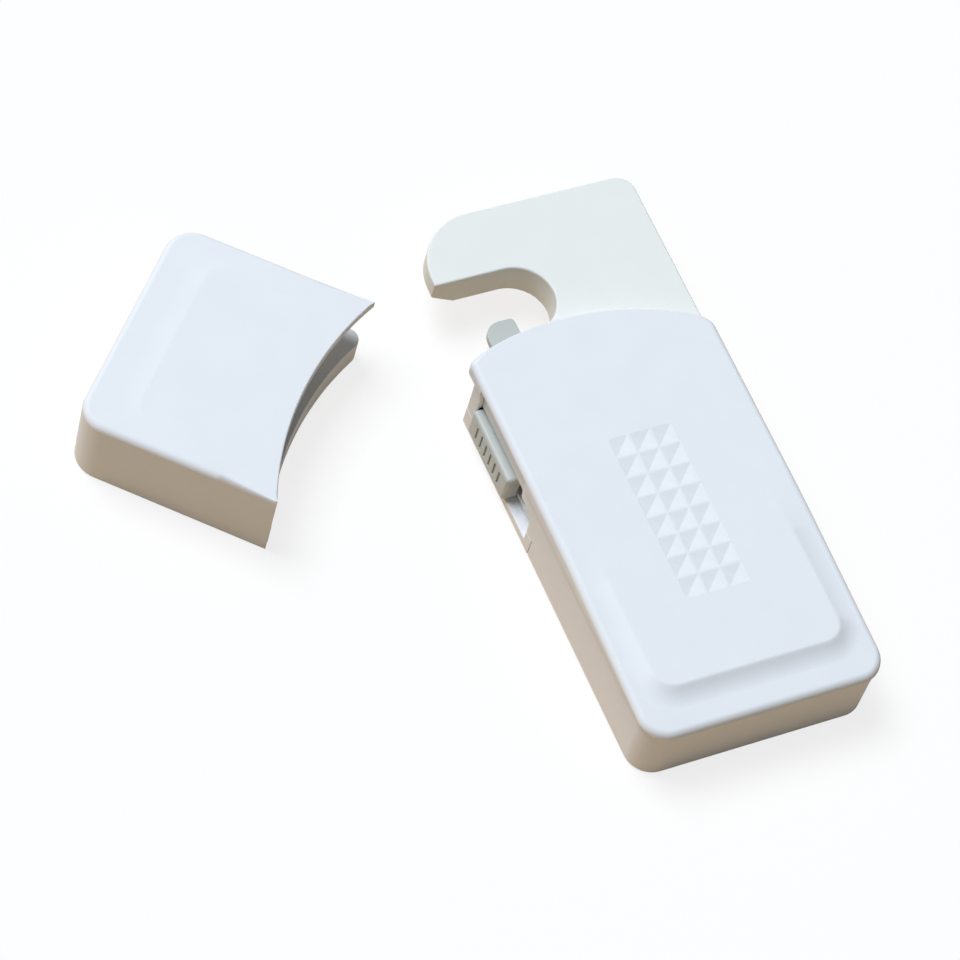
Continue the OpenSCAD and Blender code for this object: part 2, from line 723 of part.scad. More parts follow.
// Plan of the catch's lower plate, with a round corner where the hook swings in
module sill_plan() {
    arc_r = catch_arc_r - sill_out;
    round_x = sill_right - sill_corner_r;
    rise = sqrt(pow(arc_r + sill_corner_r, 2) - pow(round_x, 2));
    touch = [round_x, rise] * arc_r / (arc_r + sill_corner_r);
    difference() {
        intersection() {
            catch_plan(half_w - catch_wall_t - seat_gap, -catch_wall_t - seat_gap, arc_r,
                catch_corner_r - catch_wall_t);
            translate([-half_w, -catch_l - half_w]) square([2 * half_w, catch_l + half_w]);
        }
        translate([0, catch_arc_y])
            polygon([touch, [round_x, rise], [half_w, rise], [half_w, 0], [round_x, 0]]);
    }
    translate([0, catch_arc_y]) difference() {
        union() {
            translate([round_x, rise]) circle(sill_corner_r);
            translate([round_x - sill_corner_r, rise])
                square([2 * sill_corner_r, -catch_side_l - slide_gap - catch_arc_y - rise]);
        }
        circle(arc_r);
    }
}

module catch_base() {
    color("whitesmoke") place_catch() difference() {
        translate([0, 0, skirt_gap]) linear_extrude(sill_z - skirt_gap) sill_plan();
        linear_extrude(foam_t) round_rect([-catch_foam_x - seat_gap, -catch_foam_start - seat_gap],
            [catch_foam_x + seat_gap, seat_gap - catch_foam_end], catch_foam_r);
        for (s = [-1, 1]) translate([s * catch_boss_x, catch_boss_y, 0]) {
            cylinder(r = screw_r + fit_gap, h = top_z);
            cylinder(r = screw_head_r + seat_gap, h = skirt_gap + screw_head_h + seat_gap);
        }
        translate([-strike_x, strike_y, 0]) {
            cylinder(r = screw_r + fit_gap, h = top_z);
            cylinder(r = screw_head_r + seat_gap, h = foam_t + screw_head_h + seat_gap);
        }
    }
}

module strike_post() {
    color("silver") place_catch() translate([-strike_x, strike_y, sill_z]) difference() {
        union() {
            cylinder(r = strike_r, h = pocket_z - sill_z);
            cylinder(r = spigot_r, h = pocket_z - sill_z + spigot_h - fit_gap);
        }
        translate([0, 0, -cut_over]) cylinder(r = screw_r + fit_gap, h = screw_l + cut_over);
    }
}

module post_screw() {
    color("silver") place_catch() translate([-strike_x, strike_y, foam_t + screw_head_h + seat_gap])
        rotate([180, 0, 0]) screw(screw_r, screw_l, screw_head_r, screw_head_h);
}

module catch_screws() {
    color("silver") place_catch() for (s = [-1, 1])
        translate([s * catch_boss_x, catch_boss_y, skirt_gap + screw_head_h + seat_gap])
            rotate([180, 0, 0]) screw(screw_r, screw_l, screw_head_r, screw_head_h);
}

module catch_foam() {
    color("gainsboro") place_catch() linear_extrude(foam_t)
        round_rect([-catch_foam_x, -catch_foam_start], [catch_foam_x, -catch_foam_end], catch_foam_r);
}

mount_foam();
mount_base();
pivot_washer();
pivot_screw();
wave_washer();
top_cover();
housing_frame();
bottom_plate();
hook_plate();
pivot_bush();
hook_screws();
housing_screws();
detent_spring();
lock_slider();
catch_cover();
catch_base();
strike_post();
post_screw();
catch_screws();
catch_foam();
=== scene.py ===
"""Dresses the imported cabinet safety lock: moulded shells, hook, slider, catch, fittings and a plain stage."""
import math

import bmesh
import bpy
from bpy.props import FloatProperty, FloatVectorProperty, PointerProperty
from mathutils import Matrix, Vector


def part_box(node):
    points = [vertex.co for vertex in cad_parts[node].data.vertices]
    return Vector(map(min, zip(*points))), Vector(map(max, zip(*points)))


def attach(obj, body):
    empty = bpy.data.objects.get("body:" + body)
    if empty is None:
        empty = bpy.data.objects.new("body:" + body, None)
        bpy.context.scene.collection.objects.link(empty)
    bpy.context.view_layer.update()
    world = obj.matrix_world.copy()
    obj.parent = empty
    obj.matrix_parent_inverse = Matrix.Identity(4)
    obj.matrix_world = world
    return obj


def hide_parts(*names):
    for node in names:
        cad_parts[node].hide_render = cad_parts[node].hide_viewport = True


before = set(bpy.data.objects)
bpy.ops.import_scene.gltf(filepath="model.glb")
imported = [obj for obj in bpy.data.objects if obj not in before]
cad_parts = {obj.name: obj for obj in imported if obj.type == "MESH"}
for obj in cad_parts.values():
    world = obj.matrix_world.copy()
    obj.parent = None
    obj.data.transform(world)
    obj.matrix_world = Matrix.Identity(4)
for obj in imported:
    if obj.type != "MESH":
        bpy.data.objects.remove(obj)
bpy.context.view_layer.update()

bl_info = {
    "name": "Cabinet safety lock",
    "version": (1, 0, 0),
    "blender": (4, 5, 0),
    "location": "View3D > Sidebar > Lock",
    "description": "Models and finishes the visible pieces of a stick-on cabinet lock",
    "category": "Object",
}

MM = 0.001
DEG = math.pi / 180
OVERRUN = MM  # how far a cutting shape runs past what it cuts
AHEAD = 60 * MM  # ahead of every piece
ABOVE = 16 * MM  # above every piece
ROD_TOP = 20 * MM  # top of a rod that cuts right through
SHARP = 40  # least angle, in degrees, of an edge that gets rounded
RIM_CLEAR = 0.3 * MM  # how far above the lid's underside the rim's edge is looked for
MERGE = 0.002 * MM  # points closer than this become one
SMOOTH = 32  # greatest angle, in degrees, that is shaded smooth
STANDING = 0.99  # least share of an upright edge's length that lies along Z


# Colours and node helpers
def linear(code):
    """Turns an sRGB hex value into linear red, green and blue."""
    values = [int(code[i:i + 2], 16) / 255 for i in (1, 3, 5)]
    return tuple(v / 12.92 if v <= 0.04045 else ((v + 0.055) / 1.055) ** 2.4 for v in values)


def length(name, text, millimetres):
    """A size of the lock, shown in the sidebar as a length."""
    return FloatProperty(name=name, description=text, default=millimetres * MM, min=0, precision=5,
                         subtype="DISTANCE", unit="LENGTH")


def colour(name, text, code):
    """A colour of the lock, written as an sRGB hex value."""
    return FloatVectorProperty(name=name, description=text, default=linear(code), size=3, min=0, max=1,
                               subtype="COLOR")


def add_node(tree, kind, links=(), **settings):
    """Adds a node, sets its properties and sockets, and links other sockets into it."""
    node = tree.nodes.new(kind)
    for key, value in settings.items():
        if key in node.inputs:
            node.inputs[key].default_value = value
        else:
            setattr(node, key, value)
    for socket, source in links:
        tree.links.new(source, node.inputs[socket])
    return node


# Modelling helpers
def free_hands():
    """Leaves edit mode and deselects everything."""
    if bpy.context.object and bpy.context.object.mode != "OBJECT":
        bpy.ops.object.mode_set(mode="OBJECT")
    bpy.ops.object.select_all(action="DESELECT")


def take(piece):
    """Makes one piece the only selected and active object."""
    free_hands()
    piece.select_set(True)
    bpy.context.view_layer.objects.active = piece


def settle(piece):
    """Puts the piece's place into its mesh, so that its object sits at the origin."""
    take(piece)
    bpy.ops.object.transform_apply(location=True, rotation=True, scale=True)


def add_box(name, low, high):
    """Adds a box between two corners, in metres."""
    free_hands()
    low, high = Vector(low), Vector(high)
    bpy.ops.mesh.primitive_cube_add(size=1, location=(low + high) / 2)
    piece = bpy.context.object
    piece.name = name
    piece.scale = high - low
    settle(piece)
    return piece


def add_rod(name, radius, low, high, centre=(0, 0), vertices=96):
    """Adds an upright cylinder between two heights, in metres."""
    free_hands()
    bpy.ops.mesh.primitive_cylinder_add(vertices=vertices, radius=radius, depth=high - low,
                                        location=(centre[0], centre[1], (low + high) / 2))
    piece = bpy.context.object
    piece.name = name
    settle(piece)
    return piece


def combine(piece, other, operation):
    """Cuts, joins or crops the piece with another one, which is used up."""
    take(piece)
    modifier = piece.modifiers.new("combine", "BOOLEAN")
    modifier.operation = operation
    modifier.solver = "EXACT"
    modifier.object = other
    bpy.ops.object.modifier_apply(modifier=modifier.name)
    bpy.data.objects.remove(other)


def pick(piece, kind, test):
    """Enters edit mode and selects the vertices, edges or faces that pass the test."""
    take(piece)
    bpy.ops.object.mode_set(mode="EDIT")
    bpy.ops.mesh.select_mode(type=kind)
    bpy.ops.mesh.select_all(action="DESELECT")
    mesh = bmesh.from_edit_mesh(piece.data)
    items = {"VERT": mesh.verts, "EDGE": mesh.edges, "FACE": mesh.faces}[kind]
    for item in [i for i in items if test(i)]:
        item.select_set(True)
    mesh.select_flush_mode()
    bmesh.update_edit_mesh(piece.data)


def middle(edge):
    """The middle point of an edge."""
    return (edge.verts[0].co + edge.verts[1].co) / 2


def bends(edge, least=30):
    """Whether two faces meet at the edge at more than the least angle, in degrees."""
    return len(edge.link_faces) == 2 and edge.calc_face_angle() > least * DEG


def upright(edge):
    """Whether an edge stands along Z."""
    along = edge.verts[1].co - edge.verts[0].co
    return abs(along.z) > STANDING * along.length


def round_edges(piece, test, width, segments):
    """Rounds the edges that pass the test."""
    pick(piece, "EDGE", test)
    bpy.ops.mesh.bevel(offset=width, segments=segments, affect="EDGES", clamp_overlap=False)
    free_hands()


def tidy(piece, flat=0.05):
    """Merges doubles, joins flat faces and turns all faces outwards."""
    pick(piece, "VERT", lambda vert: True)
    bpy.ops.mesh.remove_doubles(threshold=MERGE)
    bpy.ops.mesh.dissolve_limited(angle_limit=flat * DEG)
    bpy.ops.mesh.select_all(action="SELECT")
    bpy.ops.mesh.normals_make_consistent(inside=False)
    free_hands()


def copy_node(node, name):
    """Starts a piece from a merged copy of a CAD node, for its edges to be rounded."""
    piece = bpy.data.objects.new(name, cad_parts[node].data.copy())
    bpy.context.scene.collection.objects.link(piece)
    tidy(piece, 0.5)
    return piece


def dress(piece, body, slot, material, *nodes):
    """Smooths and finishes a piece, hangs it under the empty of the body that it rides on, and hides the CAD
    nodes that it takes the place of.
    """
    take(piece)
    bpy.ops.object.shade_smooth_by_angle(angle=SMOOTH * DEG)
    modifier = piece.modifiers.new("even light", "WEIGHTED_NORMAL")
    modifier.keep_sharp = True
    bpy.ops.object.modifier_apply(modifier=modifier.name)
    piece.data.materials.clear()
    piece.data.materials.append(material)
    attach(piece, body)
    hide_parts(*nodes)
    free_hands()


# Sizes and colours that a user would change
class LockSizes(bpy.types.PropertyGroup):
    """Sizes of the lock and its catch."""
    half_width: length("Half width", "From the middle of the lock to its side", 20)
    rear: length("Rear", "From the pivot axis to the rear edge of the lid", 22.5)
    front_radius: length("Front radius", "Radius of the lid's front edge", 45.6)
    front_lean: length("Front lean", "How far the front arc's centre lies left and ahead of the pivot", 3.1)
    rear_corner: length("Rear corners", "Radius of the lid's rear corners", 4.5)
    right_corner: length("Right corner", "Setback of the lid's right front corner", 1.6)
    left_corner: length("Left corner", "Setback of the lid's left front corner", 0.9)
    lid_low: length("Lid underside", "Height of the lid's underside", 11.1)
    lid_top: length("Lid top", "Height of the lid's flat top", 13.5)
    rim_round: length("Rim rounding", "Rounding of the lid's outer edge", 1.1)
    front_share: FloatProperty(name="Front rounding", default=0.25, min=0.1, max=1,
                               description="Share of the rim rounding on the round edges")
    pad_half: length("Pad half width", "From the middle to the pad's side", 15.2)
    pad_margin: length("Pad margin", "From the rear edge to the pad", 7.3)
    pad_corner: length("Pad corners", "Radius of the pad's rear corners", 3)
    pad_sweep: length("Pad sweep", "Width of the hollow sweep between pad and rim", 3.6)
    rim_drop: length("Rim drop", "How far the rim falls at the rear edge", 1.45)
    rim_run: length("Rim run", "Length over which the rim falls", 37)
    grip_pitch: length("Grip pitch", "Spacing of the sunk pyramids", 3.65)
    grip_land: length("Grip land", "Flat land between two pyramids", 0.3)
    grip_depth: length("Grip depth", "Depth of a pyramid", 0.36)
    grip_start: length("Grip start", "From the rear edge to the first row", 19.8)
    edge_round: length("Edge rounding", "Rounding of the small moulded edges", 0.25)
    button_round: length("Button rounding", "Rounding of the slider button", 0.6)
    catch_radius: length("Catch radius", "Radius of the catch's hollow edge", 55.4)
    catch_length: length("Catch length", "Length of the catch on its middle line", 28.8)
    catch_corner: length("Catch corners", "Radius of the catch's outer corners", 4.7)
    catch_drop: length("Catch drop", "How far the catch's rim falls at its outer edge", 0.28)


class LockColours(bpy.types.PropertyGroup):
    """Colours of the lock's materials."""
    shell: colour("Shell", "Moulded white plastic", "#E9EEF2")
    shell_shade: colour("Shell mottle", "Faint darker mottle of the white plastic", "#E4E8ED")
    hook: colour("Hook", "Slightly warmer white of the hook's plastic", "#EBEFEC")
    hook_shade: colour("Hook mottle", "Faint darker mottle of the hook's plastic", "#E6EAE7")
    slider: colour("Slider", "Moulded light grey plastic", "#BFC6C3")
    slider_shade: colour("Slider mottle", "Faint darker mottle of the grey plastic", "#B8BFBC")
    bush: colour("Bush", "Unpigmented bearing plastic", "#DAD3C1")
    zinc: colour("Zinc", "Plated steel", "#B9BCC0")
    foam: colour("Foam", "Adhesive foam", "#D6D8DA")
    table: colour("Table", "Pale wood that the light comes back from", "#E6C294")


def sizes():
    return bpy.context.scene.lock_sizes


def colours():
    return bpy.context.scene.lock_colours


# Materials
def start_material(name):
    """A new material with no nodes in it yet."""
    material = bpy.data.materials.new(name)
    material.use_nodes = True
    material.node_tree.nodes.clear()
    return material


def moulded_plastic(name, base, shade, roughness, ior):
    """Injection-moulded plastic from a spark-eroded tool: an even matte skin, with a grain of about a
    quarter of a millimetre that breaks up the highlight and a mottle so faint that it only keeps the
    large faces from looking painted. The grain is drawn a little coarser than a real tool leaves it."""
    material = bpy.data.materials.get(name)
    if material:
        return material
    material = start_material(name)
    tree = material.node_tree
    mottle_size = 6 * MM
    grain_size = 0.25 * MM
    grain_height = 0.02 * MM
    roughness_spread = 0.06
    place = add_node(tree, "ShaderNodeTexCoord").outputs["Object"]
    mottle = add_node(tree, "ShaderNodeTexNoise", [("Vector", place)], Scale=1 / mottle_size, Detail=3.0)
    tint = add_node(tree, "ShaderNodeMix", [("Factor", mottle.outputs["Fac"])], data_type="RGBA")
    tint.inputs[6].default_value = (*base, 1)
    tint.inputs[7].default_value = (*shade, 1)
    grain = add_node(tree, "ShaderNodeTexNoise", [("Vector", place)], Scale=1 / grain_size, Detail=2.0)
    matte = add_node(tree, "ShaderNodeMapRange", [("Value", grain.outputs["Fac"])])
    matte.inputs["To Min"].default_value = roughness - roughness_spread
    matte.inputs["To Max"].default_value = roughness + roughness_spread
    bump = add_node(tree, "ShaderNodeBump", [("Height", grain.outputs["Fac"])], Strength=0.12,
                    Distance=grain_height)
    skin = add_node(tree, "ShaderNodeBsdfPrincipled",
                    [("Base Color", tint.outputs[2]), ("Roughness", matte.outputs["Result"]),
                     ("Normal", bump.outputs["Normal"])], IOR=ior)
    add_node(tree, "ShaderNodeOutputMaterial", [("Surface", skin.outputs["BSDF"])])
    return material


def white_abs():
    return moulded_plastic("moulded_white_abs", colours().shell, colours().shell_shade, 0.75, 1.54)


def hook_abs():
    return moulded_plastic("moulded_warm_white_abs", colours().hook, colours().hook_shade, 0.72, 1.54)


def grey_abs():
    return moulded_plastic("moulded_grey_abs", colours().slider, colours().slider_shade, 0.5, 1.54)


def acetal():
    shade = tuple(0.94 * c for c in colours().bush)
    return moulded_plastic("natural_acetal", colours().bush, shade, 0.38, 1.48)


def zinc_plated_steel():
    """Zinc-plated steel: a bright metal whose thin bluish plating has fine crystals, so that its gloss
    changes a little from spot to spot."""
    material = bpy.data.materials.get("zinc_plated_steel")
    if material:
        return material
    material = start_material("zinc_plated_steel")
    tree = material.node_tree
    crystal_size = 0.6 * MM
    place = add_node(tree, "ShaderNodeTexCoord").outputs["Object"]
    crystal = add_node(tree, "ShaderNodeTexVoronoi", [("Vector", place)], Scale=1 / crystal_size)
    gloss = add_node(tree, "ShaderNodeMapRange", [("Value", crystal.outputs["Distance"])])
    gloss.inputs["To Min"].default_value = 0.25
    gloss.inputs["To Max"].default_value = 0.4
    metal = add_node(tree, "ShaderNodeBsdfPrincipled", [("Roughness", gloss.outputs["Result"])],
                     Metallic=1.0)
    metal.inputs["Base Color"].default_value = (*colours().zinc, 1)
    add_node(tree, "ShaderNodeOutputMaterial", [("Surface", metal.outputs["BSDF"])])
    return material


def adhesive_foam():
    """Closed-cell polyethylene foam with an acrylic adhesive film: pale, dull and pocked with cells of
    about half a millimetre at its cut edge."""
    material = bpy.data.materials.get("polyethylene_foam")
    if material:
        return material
    material = start_material("polyethylene_foam")
    tree = material.node_tree
    cell_size = 0.5 * MM
    cell_depth = 0.1 * MM
    cell_shade = 0.85
    place = add_node(tree, "ShaderNodeTexCoord").outputs["Object"]
    cells = add_node(tree, "ShaderNodeTexVoronoi", [("Vector", place)], Scale=1 / cell_size)
    tint = add_node(tree, "ShaderNodeMix", [("Factor", cells.outputs["Distance"])], data_type="RGBA")
    tint.inputs[6].default_value = (*colours().foam, 1)
    tint.inputs[7].default_value = (*(cell_shade * c for c in colours().foam), 1)
    bump = add_node(tree, "ShaderNodeBump", [("Height", cells.outputs["Distance"])], Strength=0.4,
                    Distance=cell_depth)
    foam = add_node(tree, "ShaderNodeBsdfPrincipled",
                    [("Base Color", tint.outputs[2]), ("Normal", bump.outputs["Normal"])],
                    Roughness=0.85, IOR=1.5)
    add_node(tree, "ShaderNodeOutputMaterial", [("Surface", foam.outputs["BSDF"])])
    return material


# Forms that the lid and the catch's cover share
def sweep_height(share, turn=0.85):
    """Height of the sweep at a share of the way from rim to pad: hollow at first, then rounded over."""
    return share ** 2 / turn if share < turn else 1 - (1 - share) ** 2 / (1 - turn)


def soft_top(name, pad_half, rear, margin, corner, sweep, drop, run, top, low):
    """A block whose top has a level pad, open to the front, and round it a rim that falls to the rear.
    Rings inset from the rim to the pad make the hollow sweep between the two."""
    far = 10 * MM
    long = 120 * MM
    reach = sweep + far
    free_hands()
    span = Vector((2 * (pad_half + reach), long + reach, 1))
    bpy.ops.mesh.primitive_plane_add(size=1, location=(0, rear + margin - reach + span.y / 2, top - drop))
    piece = bpy.context.object
    piece.name = name
    piece.scale = span
    settle(piece)
    back = min(vert.co.y for vert in piece.data.vertices)
    pick(piece, "VERT", lambda vert: vert.co.y < back + MM)
    bpy.ops.mesh.bevel(offset=corner + reach, segments=14, affect="VERTICES", clamp_overlap=False)
    bpy.ops.mesh.select_mode(type="FACE")
    bpy.ops.mesh.select_all(action="SELECT")
    bpy.ops.mesh.inset(thickness=far, depth=0)
    shares = [0, 0.12, 0.25, 0.38, 0.5, 0.62, 0.73, 0.85, 0.9, 0.95, 1]
    for outer, inner in zip(shares, shares[1:]):
        rise = sweep_height(inner) - sweep_height(outer)
        bpy.ops.mesh.inset(thickness=(inner - outer) * sweep, depth=rise * drop)
    ease = 0.3
    steps = 12
    for i in range(steps + 1):
        bpy.ops.mesh.select_all(action="SELECT")
        bpy.ops.mesh.bisect(plane_co=(0, rear + run * (1 - ease * i / steps), 0), plane_no=(0, 1, 0))
    bpy.ops.object.mode_set(mode="OBJECT")
    for vert in piece.data.vertices:
        fall = max(0, 1 - (vert.co.y - rear) / run)
        fall = fall * fall / (2 * ease) if fall < ease else fall - ease / 2
        vert.co.z = top - (top - vert.co.z) * fall / (1 - ease / 2)
    pick(piece, "FACE", lambda face: True)
    bpy.ops.mesh.extrude_region_move(TRANSFORM_OT_translate={"value": (0, 0, low - top)})
    bpy.ops.transform.resize(value=(1, 1, 0), center_override=(0, 0, low))
    bpy.ops.mesh.select_all(action="SELECT")
    bpy.ops.mesh.normals_make_consistent(inside=False)
    free_hands()
    return piece


def round_rim(piece, low, width, where=lambda place: True):
    """Rounds the edge of a moulded top, all round or where the test says."""
    def on_rim(edge):
        if not bends(edge, SHARP) or middle(edge).z < low or not where(middle(edge)):
            return False
        tilt = sorted(face.normal.z for face in edge.link_faces)
        return abs(tilt[0]) < 0.2 and tilt[1] > 0.7
    round_edges(piece, on_rim, width, 5)


def button_step(low, high):
    """The set-back over the slider's button, between two heights, that runs out in an arc behind it. It is a
    little deeper than in the CAD and goes up into the lid's side, so that the lid's edge shades it."""
    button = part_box("lock_slider")[0].y
    side = -sizes().half_width
    depth = 1.05 * MM
    run_out = 3.5 * MM
    reach = 13.6 * MM
    corner = 1.9 * MM
    step = add_box("step", (side - OVERRUN, button - run_out, low), (side + depth, button + reach, high))
    round_edges(step, lambda e: upright(e) and middle(e).x > side and middle(e).y < button, corner, 8)
    return step


class LOCK_OT_lid(bpy.types.Operator):
    """Model the lid, with its raised pad, falling rim and sunk pyramids"""
    bl_idname = "lock.lid"
    bl_label = "Lid"

    def execute(self, context):
        s = sizes()
        lid = soft_top("lid", s.pad_half, -s.rear, s.pad_margin, s.pad_corner, s.pad_sweep, s.rim_drop,
                       s.rim_run, s.lid_top, s.lid_low - OVERRUN)
        plan = add_box("lid_plan", (-s.half_width, -s.rear, s.lid_low), (s.half_width, AHEAD, ABOVE))
        round_edges(plan, lambda e: upright(e) and middle(e).y < 0, s.rear_corner, 12)
        combine(plan, add_rod("lid_arc", s.front_radius, 0, ROD_TOP, (-s.front_lean, s.front_lean), 128),
                "INTERSECT")

        def front_corner(edge):
            return upright(edge) and bends(edge) and middle(edge).y > 0

        for side, setback in ((1, s.right_corner), (-1, s.left_corner)):
            round_edges(plan, lambda e: front_corner(e) and side * middle(e).x > 0, setback, 6)
        combine(lid, plan, "INTERSECT")
        under_rim = s.lid_top - s.rim_round - 0.1 * MM
        combine(lid, button_step(s.lid_low - OVERRUN, under_rim), "DIFFERENCE")
        tidy(lid)
        round_rim(lid, s.lid_low + RIM_CLEAR, s.rim_round)
        self.tighten_front(lid, s)
        self.cut_grip(lid, s)
        dress(lid, "housing", "white_abs", white_abs(), "top_cover")
        return {"FINISHED"}

    def tighten_front(self, lid, s):
        """Draws the rounding of the front edge out towards a crisper edge, and less so near the corners."""
        reach = 1.02 * s.rim_round
        ease_length = 2 * MM
        for vert in lid.data.vertices:
            across = Vector((vert.co.x + s.front_lean, vert.co.y - s.front_lean))
            inset = s.front_radius - across.length
            drop = s.lid_top - vert.co.z
            if inset > reach or drop > reach or vert.co.y < 0:
                continue
            from_side = s.half_width - s.rim_round - abs(vert.co.x)
            ease = min(1, max(0, from_side / ease_length))
            keep = 1 - (1 - s.front_share) * ease
            grown = across * (s.front_radius - keep * inset) / across.length
            vert.co = (grown.x - s.front_lean, grown.y + s.front_lean, s.lid_top - keep * drop)

    def cut_grip(self, lid, s):
        """Sets the grip off from the level top by straight cuts, and sinks a pyramid into each cell."""
        pitch = s.grip_pitch
        rows = 8
        columns = 3
        side = columns / 2 * pitch
        near = s.grip_start - s.rear
        far = near + rows * pitch

        def level(face):
            return face.normal.z > 0.99999 and face.calc_center_median().z > s.lid_top - 0.01 * MM

        def in_grip(face):
            centre = face.calc_center_median()
            return level(face) and abs(centre.x) < side and near < centre.y < far

        for place, along in (((side, 0, 0), (1, 0, 0)), ((-side, 0, 0), (1, 0, 0)),
                             ((0, near, 0), (0, 1, 0)), ((0, far, 0), (0, 1, 0))):
            pick(lid, "FACE", level)
            bpy.ops.mesh.bisect(plane_co=place, plane_no=along)
        for column in range(1, columns):
            pick(lid, "FACE", in_grip)
            bpy.ops.mesh.bisect(plane_co=(column * pitch - side, 0, 0), plane_no=(1, 0, 0))
        for row in range(1, rows):
            pick(lid, "FACE", in_grip)
            bpy.ops.mesh.bisect(plane_co=(0, near + row * pitch, 0), plane_no=(0, 1, 0))
        pick(lid, "FACE", in_grip)
        bpy.ops.mesh.inset(thickness=s.grip_land / 2, use_individual=True)
        bpy.ops.mesh.poke(offset=-s.grip_depth)
        pick(lid, "EDGE", lambda e: bends(e, 5) and abs(middle(e).x) < side and near < middle(e).y < far
             and middle(e).z > s.lid_top - 2 * s.grip_depth)
        bpy.ops.mesh.mark_sharp()
        free_hands()


class LOCK_OT_housing(bpy.types.Operator):
    """Model the walls and the floor of the housing, and the hook plate"""
    bl_idname = "lock.housing"
    bl_label = "Housing"

    def execute(self, context):
        s = sizes()
        for name, node, width in (("walls", "housing_frame", s.edge_round),
                                  ("floor", "bottom_plate", 0.6 * s.edge_round),
                                  ("hook", "hook_plate", 1.4 * s.edge_round)):
            piece = copy_node(node, name)
            if node == "housing_frame":
                step_low = 7.7 * MM
                combine(piece, button_step(step_low, s.lid_low + 0.02 * MM), "DIFFERENCE")
            round_edges(piece, lambda e: bends(e, SHARP), width, 3)
            dress(piece, "housing", "white_abs", hook_abs() if node == "hook_plate" else white_abs(), node)
        return {"FINISHED"}


class LOCK_OT_slider(bpy.types.Operator):
    """Model the slider: button with grip grooves, carriage and tongue"""
    bl_idname = "lock.slider"
    bl_label = "Slider"

    def execute(self, context):
        s = sizes()
        low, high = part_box("lock_slider")
        start = low.y
        end = start + 13.5 * MM
        button_inner, button_top = -18.1 * MM, 7.45 * MM
        button = add_box("slider", (low.x, start, low.z), (button_inner, end, button_top))
        round_edges(button, lambda e: middle(e).x < -19 * MM, s.button_round, 4)
        self.cut_grooves(button, low.x, (start + end) / 2)
        neck_inset = 3.6 * MM
        neck = add_box("neck", (-18.85 * MM, start + neck_inset, 3.25 * MM),
                       (-15.4 * MM, end - neck_inset, 6.35 * MM))
        combine(button, neck, "UNION")
        carriage = add_box("carriage", (-16.4 * MM, start + 0.5 * MM, 5.25 * MM),
                           (high.x, end + 1.7 * MM, high.z))
        combine(button, carriage, "UNION")
        combine(button, self.tongue(start, high), "UNION")
        notch_radius, notch_x = 1.3 * MM, -7.9 * MM
        for y in (start + 3.4 * MM, start + 9.4 * MM):
            combine(button, add_rod("notch", notch_radius, 0, ROD_TOP, (notch_x, y), 48), "DIFFERENCE")
        dress(button, "slider", "grey_abs", grey_abs(), "lock_slider")
        return {"FINISHED"}

    def cut_grooves(self, button, face, centre):
        """Cuts six upright grip grooves with rounded ends into the button's face."""
        pitch = 1.643 * MM
        half = 0.25 * MM
        depth = 0.4 * MM
        bottom, top = 3.3 * MM, 6.3 * MM
        corner = 0.2 * MM
        for i in range(6):
            place = centre + (i - 2.5) * pitch
            groove = add_box("groove", (face - OVERRUN, place - half, bottom),
                             (face + depth, place + half, top))
            round_edges(groove, lambda e: abs(e.verts[0].co.x - e.verts[1].co.x) > MM, corner, 3)
            combine(button, groove, "DIFFERENCE")

    def tongue(self, start, high):
        """The flat tongue, whose tip is rounded more on its left than on its right."""
        width, underside = 5.3 * MM, 8.4 * MM
        tip, shown = 50 * MM, 44 * MM
        tongue = add_box("tongue", (high.x - width, start + MM, underside), (high.x, high.y, high.z))

        def at_tip(edge):
            return upright(edge) and middle(edge).y > tip

        round_edges(tongue, lambda e: at_tip(e) and middle(e).x < -12 * MM, 2.8 * MM, 8)
        round_edges(tongue, lambda e: at_tip(e) and middle(e).x > -9 * MM, 0.7 * MM, 5)
        round_edges(tongue, lambda e: bends(e) and not upright(e) and middle(e).y > shown, 0.15 * MM, 2)
        return tongue


